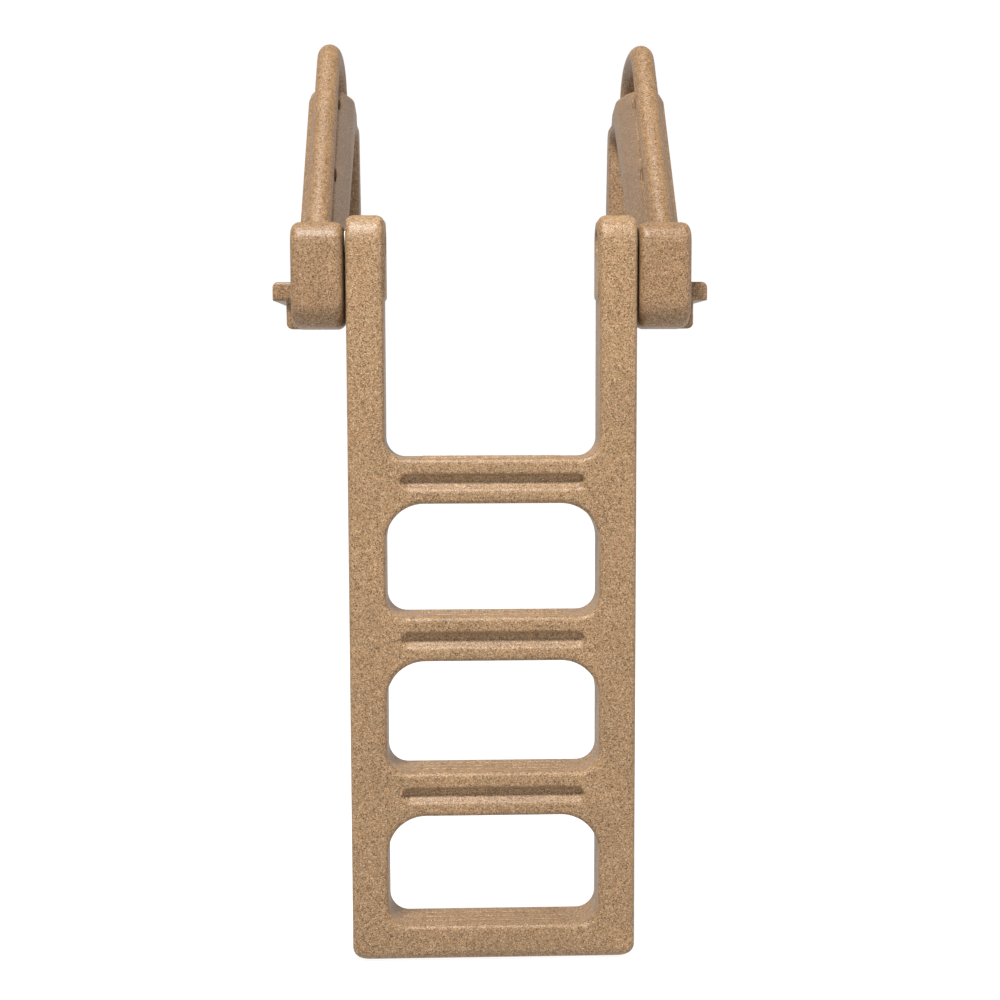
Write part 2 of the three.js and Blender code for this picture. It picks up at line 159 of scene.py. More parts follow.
def rounded_outline(corners, steps=6):
    """The points of a closed outline with its own radius at each corner."""
    points = []
    count = len(corners)
    for i, (u, v, radius) in enumerate(corners):
        corner = np.array((u, v), float)
        before = np.array(corners[i - 1][:2], float) - corner
        after = np.array(corners[(i + 1) % count][:2], float) - corner
        before /= np.linalg.norm(before)
        after /= np.linalg.norm(after)
        half = math.acos(float(np.clip(before @ after, -1, 1))) / 2
        reach = radius / math.tan(half)
        start = corner + before * reach
        end = corner + after * reach
        control_a = start + (corner - start) * 0.56
        control_b = end + (corner - end) * 0.56
        for k in range(steps + 1):
            t = k / steps
            points.append(
                start * (1 - t) ** 3 + control_a * 3 * t * (1 - t) ** 2
                + control_b * 3 * t * t * (1 - t) + end * t ** 3)
    return points


def polygon(u, v, points):
    """Signed distance to a closed polygon."""
    best = None
    inside = None
    count = len(points)
    for i in range(count):
        a = points[i]
        b = points[(i + 1) % count]
        edge_u = b[0] - a[0]
        edge_v = b[1] - a[1]
        square = edge_u * edge_u + edge_v * edge_v
        if square < 1e-9:
            continue
        t = np.clip(((u - a[0]) * edge_u + (v - a[1]) * edge_v) / square, 0, 1)
        reach = (u - a[0] - t * edge_u) ** 2 + (v - a[1] - t * edge_v) ** 2
        best = reach if best is None else np.minimum(best, reach)
        crosses = (v >= min(a[1], b[1])) & (v < max(a[1], b[1]))
        if abs(edge_v) > 1e-9:
            crosses = crosses & (u < a[0] + (v - a[1]) / edge_v * edge_u)
            inside = crosses if inside is None else inside ^ crosses
    return np.where(inside, -1.0, 1.0) * np.sqrt(best)


def tube(x, y, z, path):
    """Distance to a tube in the plane x = 0 along (y, z, radius) points."""
    best = None
    for a, b in zip(path[:-1], path[1:]):
        edge_y = b[0] - a[0]
        edge_z = b[1] - a[1]
        t = np.clip(((y - a[0]) * edge_y + (z - a[1]) * edge_z) / (edge_y ** 2 + edge_z ** 2), 0, 1)
        radius = a[2] + t * (b[2] - a[2])
        reach = length(x, y - a[0] - t * edge_y, z - a[1] - t * edge_z) - radius
        best = reach if best is None else np.minimum(best, reach)
    return best


def spline(points, steps):
    """A smooth curve through the points (Catmull-Rom)."""
    points = [np.array(p, float) for p in points]
    padded = [2 * points[0] - points[1], *points, 2 * points[-1] - points[-2]]
    out = []
    for i in range(len(points) - 1):
        p0, p1, p2, p3 = padded[i:i + 4]
        for k in range(steps):
            t = k / steps
            out.append(0.5 * (2 * p1 + (p2 - p0) * t + (2 * p0 - 5 * p1 + 4 * p2 - p3) * t * t
                              + (3 * p1 - p0 - 3 * p2 + p3) * t ** 3))
    out.append(points[-1])
    return out


# ---------------------------------------------------------------- the two moulded shapes

def ladder_shape(x, y, z):
    bottom = LADDER_BOTTOM - LEVEL_LOSS
    front = round_rect(x, z, -LADDER_HALF, LADDER_HALF, bottom, LADDER_TOP, 28, 13)
    notch = round_rect(x, z, -UPRIGHT_INNER, UPRIGHT_INNER, FIRST_TREAD, 900, 31, 5)
    front = round_max(front, -notch, 13)
    for i in range(TREADS):
        head = FIRST_TREAD - TREAD_HEIGHT - i * RUNG_PITCH
        sill = FIRST_TREAD - (i + 1) * RUNG_PITCH
        window = round_rect(x, z, -UPRIGHT_INNER, UPRIGHT_INNER, sill, head, 32, 62)
        front = np.maximum(front, -window)
    foot_radius = np.where(y < HINGE_Y, 24, 12)
    side = round_rect(y, z, LADDER_FRONT, LADDER_REAR, bottom, LADDER_TOP, foot_radius, 44.9)
    shape = round_max(front, side, 9)
    for i in range(TREADS):
        drop = z - (FIRST_TREAD - GROOVE_DROP - i * RUNG_PITCH)
        inset = y - LADDER_FRONT + 3 * np.clip(-drop / 12, 0, 1)
        past_end = np.maximum(np.abs(x) - GROOVE_HALF + GROOVE_RADIUS, 0)
        groove = length(past_end, inset, drop) - GROOVE_RADIUS
        lip = 1 + 5 * np.clip(0.5 - drop / 16, 0, 1)
        shape = round_max(shape, -groove, lip)
    pad_side = round_rect(y, z, HINGE_Y - 34, HINGE_Y + 34, 0, HINGE_Z + 34, 10, 33.9)
    pad = round_max(pad_side, slab(np.abs(x), UPRIGHT_INNER - HINGE_PAD, UPRIGHT_INNER + 6), 1.5)
    shape = round_min(shape, pad, 1)
    axis = length(y - HINGE_Y, z - HINGE_Z)
    recess = np.maximum(axis - HEAD_RECESS, np.abs(x) - (UPRIGHT_INNER + 12))
    shape = round_max(shape, -recess, 1.2)
    for _, height in PLUG_HEIGHTS:
        hole = length(np.abs(x) - UPRIGHT_X, z - height) - 15.3
        shape = round_max(shape, -np.maximum(hole, LADDER_REAR - 10 - y), 1.5)
    return shape


BODY_OUTLINE = rounded_outline(BODY_CORNERS)
BAY_OUTLINE = rounded_outline(BAY_CORNERS)
BLOCK_OUTLINE = rounded_outline(BLOCK_CORNERS)
LEG_PATH = [(*LEG_FOOT, TUBE_RADIUS), (*LEG_HEAD, TUBE_RADIUS)]
LOOP_PATH = [(p[0], p[1], TUBE_RADIUS) for p in spline(LOOP_POINTS, 5)]
LEG_WAY = np.array((LEG_HEAD[0] - LEG_FOOT[0], LEG_HEAD[1] - LEG_FOOT[1]), float)
LEG_WAY /= np.linalg.norm(LEG_WAY)


def handrail_shape(x, y, z):
    """The right handrail; the left one is its mirror image.

    run is how far a point lies along the leaning leg, behind how far square behind it, and
    level the same distance measured level with the deck.
    """
    across = x - RAIL_X
    run = (y - LEG_FOOT[0]) * LEG_WAY[0] + (z - LEG_FOOT[1]) * LEG_WAY[1]
    behind = (y - LEG_FOOT[0]) * LEG_WAY[1] - (z - LEG_FOOT[1]) * LEG_WAY[0]
    outline = np.maximum(polygon(y, z, BODY_OUTLINE), -polygon(y, z, BAY_OUTLINE))
    level = behind / LEG_WAY[1]
    short = (WEDGE_END - level) / (WEDGE_END - WEDGE_START)
    short = (short + np.sqrt(short * short + 0.006)) / 2
    half = BODY_HALF - (BODY_HALF - BODY_NOSE_HALF) * np.minimum(short, 1.1)
    body = round_max(outline, (-across - half) * 0.98, 9)
    body = round_max(body, across - BODY_OUTER_HALF, 14)
    leg = np.minimum(tube(across, y, z, LEG_PATH), tube(across, y, z, LOOP_PATH))
    shape = round_min(body, leg, 2.5 + 6 * np.clip(across / 12 + 0.5, 0, 1))
    block = round_max(polygon(y, z, BLOCK_OUTLINE), slab(x, BLOCK_INNER, BLOCK_OUTER), 14)
    shape = round_min(shape, block, 5)
    lip = round_rect(x, z, BLOCK_INNER + 6, LIP_OUTER, BLOCK_BOTTOM, 14, 9, 4)
    lip = round_max(lip, slab(y, -22.5, -0.5), 3)
    shape = round_min(shape, lip, 3)
    base = round_rect(x, z, BASE_INNER, BASE_OUTER, 0, BASE_HEIGHT, 1.5, 9)
    base = round_max(base, slab(y, BASE_FRONT, BASE_REAR), 4)
    shape = round_min(shape, base, 1.5)
    for along in SLITS_ALONG_LEG:
        lens = length((run - along) / 17, (behind - 10) / 12, (across + TUBE_RADIUS + 1) / 2.6) - 1
        shape = round_max(shape, -lens * 2.6, 0.4)
    nut_hole = np.maximum(length(y - HINGE_Y, z - HINGE_Z) - NUT_POCKET, BLOCK_OUTER - 8 - x)
    shape = round_max(shape, -nut_hole, 1.2)
    for screw_y in DECK_SCREW_Y:
        hole = np.maximum(length(x - DECK_SCREW_X, y - screw_y) - 12, SCREW_SEAT - z)
        shape = round_max(shape, -hole, 1)
    return shape


# ---------------------------------------------------------------- meshes

def grid_axis(low, high, step, fine=None):
    """Grid planes a step apart, closer together inside an optional (low, high, step) stretch."""
    planes = [low - step * 0.55]
    while planes[-1] < high + step * 0.5:
        inside = fine and fine[0] <= planes[-1] < fine[1]
        planes.append(planes[-1] + (fine[2] if inside else step))
    return np.array(planes)


def surface_mesh(name, shape, low, high, step, fine=None):
    """Meshes the zero level of a distance function in a box, with every vertex pulled onto it."""
    axes = [grid_axis(low[i], high[i], step, fine if i == 0 else None) for i in range(3)]
    counts = [len(axis) for axis in axes]
    grid = np.broadcast_to(
        shape(axes[0][:, None, None], axes[1][None, :, None], axes[2][None, None, :]), counts)
    solid = grid < 0
    cells = np.zeros([n - 1 for n in counts], np.uint8)
    for i in (0, 1):
        for j in (0, 1):
            for k in (0, 1):
                cells += solid[i:counts[0] - 1 + i, j:counts[1] - 1 + j, k:counts[2] - 1 + k]
    active = (cells > 0) & (cells < 8)
    number = np.full(active.shape, -1, np.int64)
    number[active] = np.arange(int(active.sum()))
    places = np.argwhere(active)
    middles = [(axis[:-1] + axis[1:]) / 2 for axis in axes]
    points = np.stack([middles[i][places[:, i]] for i in range(3)], 1)
    quads = []
    for axis in range(3):
        ahead = [slice(None)] * 3
        behind = [slice(None)] * 3
        ahead[axis] = slice(1, None)
        behind[axis] = slice(None, -1)
        change = solid[tuple(ahead)].astype(np.int8) - solid[tuple(behind)].astype(np.int8)
        others = [(axis + 1) % 3, (axis + 2) % 3]
        for sign in (-1, 1):
            edges = np.argwhere(change == sign)
            corners = []
            for du, dv in ((0, 0), (-1, 0), (-1, -1), (0, -1)):
                at = edges.copy()
                at[:, others[0]] += du
                at[:, others[1]] += dv
                corners.append(number[at[:, 0], at[:, 1], at[:, 2]])
            order = corners if sign < 0 else corners[::-1]
            quads.append(np.stack(order, 1))
    quads = np.concatenate(quads)
    for _ in range(5):
        points = onto_surface(points, shape, step)
        points = relax(points, quads)
    for _ in range(3):
        points = onto_surface(points, shape, step)
    mesh = bpy.data.meshes.new(name)
    mesh.from_pydata((points * MM).tolist(), [], quads.tolist())
    mesh.polygons.foreach_set("use_smooth", np.ones(len(quads), bool))
    mesh.update()
    return mesh


def onto_surface(points, shape, step):
    x, y, z = points.T
    value = shape(x, y, z)
    small = 0.05
    slope = np.stack([
        shape(x + small, y, z) - shape(x - small, y, z),
        shape(x, y + small, z) - shape(x, y - small, z),
        shape(x, y, z + small) - shape(x, y, z - small)], 1) / (2 * small)
    square = np.maximum((slope * slope).sum(1), 0.25)
    move = slope * (value / square)[:, None]
    size = np.sqrt((move * move).sum(1))
    move *= np.minimum(1, step / np.maximum(size, 1e-9))[:, None]
    return points - move


def relax(points, quads):
    """Moves each vertex half way to the mean of its neighbours, to even out the mesh."""
    total = np.zeros_like(points)
    count = np.zeros(len(points))
    for i in range(4):
        a = quads[:, i]
        b = quads[:, (i + 1) % 4]
        for one, other in ((a, b), (b, a)):
            for axis in range(3):
                total[:, axis] += np.bincount(one, points[other, axis], len(points))
            count += np.bincount(one, minlength=len(points))
    return points * 0.5 + 0.5 * total / np.maximum(count, 1)[:, None]


def add_object(name, mesh, body, material, replaces=()):
    piece = bpy.data.objects.new(name, mesh)
    bpy.context.scene.collection.objects.link(piece)
    mesh.materials.clear()
    mesh.materials.append(material)
    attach(piece, body)
    if replaces:
        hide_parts(*replaces)
    return piece


def mirrored(mesh, name):
    """The mesh on the other side of the plane of symmetry."""
    copy = mesh.copy()
    copy.name = name
    copy.transform(Matrix.Scale(-1, 4, (1, 0, 0)))
    copy.flip_normals()
    return copy


def lathe(name, rings, place, steps=48):
    """A turned piece: rings of (along, radius, flats), where flats is a hexagon's half width or None."""
    mesh = bmesh.new()
    loops = []
    for along, radius, flats in rings:
        if radius == 0:
            loops.append([mesh.verts.new(place(along, 0, 0))])
            continue
        loop = []
        for k in range(steps):
            angle = 2 * math.pi * (k + 0.5) / steps
            reach = radius
            if flats:
                turn = (angle + math.pi / 6) % (math.pi / 3) - math.pi / 6
                reach = min(radius, flats / math.cos(turn))
            point = place(along, reach * math.cos(angle), reach * math.sin(angle))
            loop.append(mesh.verts.new(point))
        loops.append(loop)
    closed = rings[0][1] > 0
    pairs = list(zip(loops[:-1], loops[1:]))
    if closed:
        pairs.append((loops[-1], loops[0]))
    for first, second in pairs:
        for k in range(steps):
            quad = [first[k % len(first)], first[(k + 1) % len(first)],
                    second[(k + 1) % len(second)], second[k % len(second)]]
            corners = list(dict.fromkeys(quad))
            if len(corners) > 2:
                mesh.faces.new(corners)
    bmesh.ops.recalc_face_normals(mesh, faces=mesh.faces)
    return finished(name, mesh)


def finished(name, mesh, sharp=32):
    for edge in mesh.edges:
        if len(edge.link_faces) == 2 and edge.calc_face_angle() > math.radians(sharp):
            edge.smooth = False
    for face in mesh.faces:
        face.smooth = True
    out = bpy.data.meshes.new(name)
    mesh.to_mesh(out)
    mesh.free()
    return out


def solid_rings(profile):
    """A closed turned outline that starts and ends on the axis."""
    return [(profile[0][0], 0, None), *profile, (profile[-1][0], 0, None)]


def ring_profile(low, high, outer, inner, chamfer):
    return [
        (low + chamfer, outer, None), (high - chamfer, outer, None), (high, outer - chamfer, None),
        (high, inner + chamfer, None), (high - chamfer, inner, None), (low + chamfer, inner, None),
        (low, inner + chamfer, None), (low, outer - chamfer, None),
    ]


def hex_head(low, high, flats, chamfer):
    """A hexagon head from low to high whose top corners are turned down to a cone."""
    corner = flats / math.cos(math.pi / 6)
    return [
        (low, flats * 0.96, None), (low + 0.4, flats * 0.96, None), (low + 0.4, corner, flats),
        (high - chamfer, corner, flats), (high - chamfer * 0.5, corner * 0.955, flats),
        (high, flats * 0.93, None), (high, flats * 0.6, None), (high - 0.25, flats * 0.56, None),
    ]


def thread(low, high, radius, pitch, depth):
    rings = []
    along = low
    while along + pitch <= high:
        rings += [(along, radius - depth, None), (along + pitch / 2, radius, None)]
        along += pitch
    return [*rings, (high, radius - depth, None)]


def cut_slot(mesh_data, low, high):
    """Sinks a box-shaped slot from low to high corners into a mesh."""
    cutter = bmesh.new()
    bmesh.ops.create_cube(cutter, size=1)
    for vert in cutter.verts:
        for axis in range(3):
            vert.co[axis] = (low[axis] + high[axis]) / 2 + vert.co[axis] * (high[axis] - low[axis])
    tool_mesh = bpy.data.meshes.new("slot_tool")
    cutter.to_mesh(tool_mesh)
    cutter.free()
    tool = bpy.data.objects.new("slot_tool", tool_mesh)
    blank = bpy.data.objects.new("slot_blank", mesh_data)
    for item in (tool, blank):
        bpy.context.scene.collection.objects.link(item)
    cut = blank.modifiers.new("cut", "BOOLEAN")
    cut.object = tool
    cut.operation = "DIFFERENCE"
    cut.solver = "EXACT"
    bpy.context.view_layer.update()
    evaluated = blank.evaluated_get(bpy.context.evaluated_depsgraph_get())
    result = bpy.data.meshes.new_from_object(evaluated)
    name = mesh_data.name
    bpy.data.objects.remove(tool)
    bpy.data.objects.remove(blank)
    bpy.data.meshes.remove(tool_mesh)
    bpy.data.meshes.remove(mesh_data)
    result.name = name
    return result


# ---------------------------------------------------------------- materials

def ramp(nodes, stops, interpolation="LINEAR"):
    node = nodes.new("ShaderNodeValToRGB")
    node.color_ramp.interpolation = interpolation
    elements = node.color_ramp.elements
    while len(elements) < len(stops):
        elements.new(0.5)
    for element, (place, colour) in zip(elements, stops):
        element.position = place
        element.color = (*colour, 1)
    return node


def srgb(r, g, b):
    def channel(v):
        v /= 255
        return v / 12.92 if v <= 0.04045 else ((v + 0.055) / 1.055) ** 2.4
    return tuple(channel(v) for v in (r, g, b))


def base_material(name, roughness, metallic=0.0):
    material = bpy.data.materials.new(name)
    material.use_nodes = True
    shader = material.node_tree.nodes["Principled BSDF"]
    shader.inputs["Roughness"].default_value = roughness
    shader.inputs["Metallic"].default_value = metallic
    return material, material.node_tree.nodes, material.node_tree.links, shader


def grains(nodes, links, place, scale, channel, stops):
    """One layer of grains: every cell of a random pattern gets its own tone from the stops."""
    cells = nodes.new("ShaderNodeTexVoronoi")
    cells.inputs["Scale"].default_value = scale
    links.new(place.outputs["Object"], cells.inputs["Vector"])
    split = nodes.new("ShaderNodeSeparateColor")
    links.new(cells.outputs["Color"], split.inputs["Color"])
    tone = ramp(nodes, stops)
    links.new(split.outputs[channel], tone.inputs["Fac"])
    return tone.outputs["Color"]


def multiplied(nodes, links, one, other):
    mixed = nodes.new("ShaderNodeMix")
    mixed.data_type = "RGBA"
    mixed.blend_type = "MULTIPLY"
    mixed.inputs["Factor"].default_value = 1
    links.new(one, mixed.inputs[6])
    links.new(other, mixed.inputs[7])
    return mixed.outputs[2]


def grey(value):
    return (value, value, value)


def tinted(colour, r, g, b):
    return (colour[0] * r, colour[1] * g, colour[2] * b)


def speckled_resin(name, tan, seam=False):
    """Tan resin moulded from mixed powders: fine tan, dark and pale grains and a slight orange peel."""
    material, nodes, links, shader = base_material(name, 0.52)
    place = nodes.new("ShaderNodeTexCoord")
    base = grains(nodes, links, place, 760, "Red", (
        (0.0, tinted(tan, 0.30, 0.22, 0.16)), (0.14, tinted(tan, 0.56, 0.49, 0.42)),
        (0.30, tinted(tan, 0.86, 0.84, 0.80)), (0.60, tan),
        (0.84, tinted(tan, 1.25, 1.33, 1.45)), (1.0, tinted(tan, 1.66, 1.98, 2.6)),
    ))
    dark = grains(nodes, links, place, 560, "Green", (
        (0.0, (0.42, 0.36, 0.30)), (0.07, (0.56, 0.50, 0.44)), (0.11, grey(0.97)),
        (0.86, grey(1.0)), (0.90, (1.16, 1.18, 1.22)), (0.96, (1.22, 1.00, 0.88)),
    ))
    mottle = nodes.new("ShaderNodeTexNoise")
    mottle.inputs["Scale"].default_value = 9
    mottle.inputs["Detail"].default_value = 4
    links.new(place.outputs["Object"], mottle.inputs["Vector"])
    drift = ramp(nodes, ((0.3, grey(0.93)), (0.7, grey(1.06))))
    links.new(mottle.outputs["Fac"], drift.inputs["Fac"])
    colour = multiplied(nodes, links, multiplied(nodes, links, base, dark), drift.outputs["Color"])
    links.new(colour, shader.inputs["Base Color"])
    shader.inputs["Specular IOR Level"].default_value = 0.42
    peel = nodes.new("ShaderNodeTexNoise")
    peel.inputs["Scale"].default_value = 300
    peel.inputs["Detail"].default_value = 3
    links.new(place.outputs["Object"], peel.inputs["Vector"])
    rough = nodes.new("ShaderNodeMapRange")
    rough.inputs["To Min"].default_value = 0.44
    rough.inputs["To Max"].default_value = 0.60
    links.new(peel.outputs["Fac"], rough.inputs["Value"])
    links.new(rough.outputs["Result"], shader.inputs["Roughness"])
    height = peel.outputs["Fac"]
    if seam:
        height = seam_height(nodes, links, place, height)
    bump = nodes.new("ShaderNodeBump")
    bump.inputs["Strength"].default_value = 0.16
    bump.inputs["Distance"].default_value = 0.001
    links.new(height, bump.inputs["Height"])
    links.new(bump.outputs["Normal"], shader.inputs["Normal"])
    return material


def seam_height(nodes, links, place, height):
    """Adds the thin raised line that the mould's parting plane leaves around the ladder."""
    split = nodes.new("ShaderNodeSeparateXYZ")
    links.new(place.outputs["Object"], split.inputs["Vector"])
    away = nodes.new("ShaderNodeMath")
    away.operation = "SUBTRACT"
    away.inputs[1].default_value = HINGE_Y * MM
    links.new(split.outputs["Y"], away.inputs[0])
    size = nodes.new("ShaderNodeMath")
    size.operation = "ABSOLUTE"
    links.new(away.outputs["Value"], size.inputs[0])
    line = nodes.new("ShaderNodeMapRange")
    line.inputs["From Max"].default_value = 0.0012
    line.inputs["To Min"].default_value = 1.6
    line.inputs["To Max"].default_value = 0
    links.new(size.outputs["Value"], line.inputs["Value"])
    total = nodes.new("ShaderNodeMath")
    total.operation = "ADD"
    links.new(height, total.inputs[0])
    links.new(line.outputs["Result"], total.inputs[1])
    return total.outputs["Value"]


def plain_material(name, colour, roughness, metallic=0.0, scale=300, depth=0.0004, spread=0.12):
    """A plain finish with fine variation in tone, roughness and surface."""
    material, nodes, links, shader = base_material(name, roughness, metallic)
    place = nodes.new("ShaderNodeTexCoord")
    noise = nodes.new("ShaderNodeTexNoise")
    noise.inputs["Scale"].default_value = scale
    noise.inputs["Detail"].default_value = 4
    links.new(place.outputs["Object"], noise.inputs["Vector"])
    tone = ramp(nodes, (
        (0.3, tuple(c * (1 - spread) for c in colour)),
        (0.7, tuple(min(1, c * (1 + spread)) for c in colour)),
    ))
    links.new(noise.outputs["Fac"], tone.inputs["Fac"])
    links.new(tone.outputs["Color"], shader.inputs["Base Color"])
    rough = nodes.new("ShaderNodeMapRange")
    rough.inputs["To Min"].default_value = roughness - 0.08
    rough.inputs["To Max"].default_value = roughness + 0.08
    links.new(noise.outputs["Fac"], rough.inputs["Value"])
    links.new(rough.outputs["Result"], shader.inputs["Roughness"])
    bump = nodes.new("ShaderNodeBump")
    bump.inputs["Strength"].default_value = 0.15
    bump.inputs["Distance"].default_value = depth
    links.new(noise.outputs["Fac"], bump.inputs["Height"])
    links.new(bump.outputs["Normal"], shader.inputs["Normal"])
    return material


LADDER_TAN = (0.226, 0.136, 0.064)
# The handrails' tan is the ladder's tan darkened: painted shade. RESIN below carries this painted shade
# onto the handrails and onto the frame's moulded resin parts.
RAIL_TAN_PAINTED_SHADE = (0.190, 0.110, 0.050)
RESIN = speckled_resin("speckled_resin", RAIL_TAN_PAINTED_SHADE)
LADDER_RESIN = speckled_resin("ladder_speckled_resin", LADDER_TAN)
SEAMED_RESIN = speckled_resin("seamed_speckled_resin", LADDER_TAN, seam=True)
STEEL = plain_material("stainless_steel", srgb(196, 198, 200), 0.34, 1.0, 900)
NYLON = plain_material("natural_nylon", srgb(222, 216, 202), 0.5)
TRIM = plain_material("resin_trim", srgb(142, 115, 84), 0.55)
RUBBER = plain_material("black_rubber", srgb(42, 41, 40), 0.8)
FINISHES = {
    "moulded_resin": RESIN, "stainless_steel": STEEL, "nylon": NYLON,
    "resin_trim": TRIM, "rubber": RUBBER,
}

# ---------------------------------------------------------------- pieces

for subpart in frame["record"]["subparts"]:
    node = frame["nodes"][subpart["node"]]
    node.data.materials.clear()
    node.data.materials.append(FINISHES[subpart["material_slot"]])

ladder_mesh = surface_mesh(
    "ladder_moulding", ladder_shape,
    (-LADDER_HALF, LADDER_FRONT, LADDER_BOTTOM), (LADDER_HALF, LADDER_REAR, LADDER_TOP), 3.6)
add_object("ladder_moulding", ladder_mesh, "ladder", SEAMED_RESIN, ["ladder_frame"])

rail_mesh = surface_mesh(
    "right_rail_moulding", handrail_shape,
    (BLOCK_INNER, LADDER_FRONT, BLOCK_BOTTOM), (BASE_OUTER, BASE_REAR, LOOP_TOP), 3.2,
    (RAIL_X - TUBE_RADIUS - 6, RAIL_X - TUBE_RADIUS + 4, 1.2))
add_object("right_rail_moulding", rail_mesh, "handrails", RESIN, ["right_handrail"])
add_object("left_rail_moulding", mirrored(rail_mesh, "left_rail_moulding"), "handrails",
           RESIN, ["left_handrail"])

# ---------------------------------------------------------------- hardware

def around_hinge(side):
    """Places a turned piece on the hinge line; along is measured outwards from x = 0, in mm."""
    return lambda along, a, b: Vector((side * along, HINGE_Y + a, HINGE_Z + b)) * MM


def upright_at(x, y):
    return lambda along, a, b: Vector((x + a, y + b, along)) * MM


def from_rear(x, z):
    return lambda along, a, b: Vector((x + a, along, z + b)) * MM


def turned(name, rings, place, body, slot, replaces):
    add_object(name, lathe(name, rings, place), body, FINISHES[slot], [replaces])


def hinge_hardware(side, word):
    """Bolt, washers, bush, nut and cap on one side, from the ladder outwards."""
    place = around_hinge(side)
    seat = UPRIGHT_INNER + 12
    washer = seat - 2.3
    pocket = BLOCK_OUTER - NUT_POCKET_DEPTH
    low, high = washer - 8.3, washer - 0.3
    head = [(low + high - along, radius, flats)
            for along, radius, flats in hex_head(low, high, HEX_HALF, 1.6)]
    head.reverse()
    shank = [
        (washer - 0.3, BOLT_RADIUS, None), (pocket, BOLT_RADIUS, None),
        *thread(pocket + 0.5, BLOCK_OUTER - 8, BOLT_RADIUS, 1.75, 0.8), (BLOCK_OUTER - 7, 4.6, None),
    ]
    turned(f"{word}_hex_bolt", solid_rings(head + shank), place, "handrails", "stainless_steel",
           f"{word}_hinge_bolt")
    turned(f"{word}_bolt_head_washer", ring_profile(washer, washer + 2, 14, 6.5, 0.4), place,
           "handrails", "stainless_steel", f"{word}_head_washer")
    turned(f"{word}_bush_sleeve", ring_profile(seat + 0.2, LADDER_HALF - 0.2, 10, 6.1, 0.5), place,
           "ladder", "nylon", f"{word}_hinge_bush")
    turned(f"{word}_thrust_ring", ring_profile(LADDER_HALF + 0.4, BLOCK_INNER - 0.3, 18, 6.5, 0.5), place,
           "handrails", "nylon", f"{word}_thrust_washer")
    turned(f"{word}_nut_seat_washer", ring_profile(pocket + 0.3, pocket + 2.3, 14, 6.5, 0.4), place,
           "handrails", "stainless_steel", f"{word}_nut_washer")
    corner = HEX_HALF / math.cos(math.pi / 6)
    low, high = pocket + 2.6, pocket + 12.6
    nut = [
        (low + 1.2, corner, HEX_HALF), (high - 1.2, corner, HEX_HALF), (high, 9, None),
        (high, 6.8, None), (high - 0.6, 6.2, None), (low + 0.6, 6.2, None), (low, 6.8, None),
        (low, 9, None),
    ]
    turned(f"{word}_hex_nut", nut, place, "handrails", "stainless_steel", f"{word}_hinge_nut")
    low, high = BLOCK_OUTER - 5, BLOCK_OUTER - 0.5
    cap = [
        (low, 18.4, None), (low + 0.6, 19.4, None), (high - 1.4, 19.6, None), (high - 0.4, 19, None),
        (high - 0.1, 18, None), (high - 0.1, 16.2, None), (high - 0.9, 15.6, None),
        (high - 0.9, 13.8, None), (high - 0.4, 13, None), (high, 9, None), (high, 4, None),
    ]
    turned(f"{word}_snap_cap", solid_rings(cap), place, "handrails", "resin_trim", f"{word}_nut_cover")


def deck_screw(side, word, where, y):
    place = upright_at(side * DECK_SCREW_X, y)
    turned(f"{word}_{where}_washer_ring", ring_profile(SCREW_SEAT + 0.2, SCREW_SEAT + 2.2, 11, 4.4, 0.4),
           place, "handrails", "stainless_steel", f"{word}_{where}_deck_washer")
    shank = [(SCREW_SEAT - 42, 1, None), *thread(SCREW_SEAT - 39, SCREW_SEAT - 8, 4, 3.2, 1.1),
             (SCREW_SEAT - 7, 3.4, None), (SCREW_SEAT + 2.5, 3.4, None)]
    head = hex_head(SCREW_SEAT + 2.5, SCREW_SEAT + 8, 6.5, 1.1)
    turned(f"{word}_{where}_hex_screw", solid_rings(shank + head), place, "handrails", "stainless_steel",
           f"{word}_{where}_deck_screw")


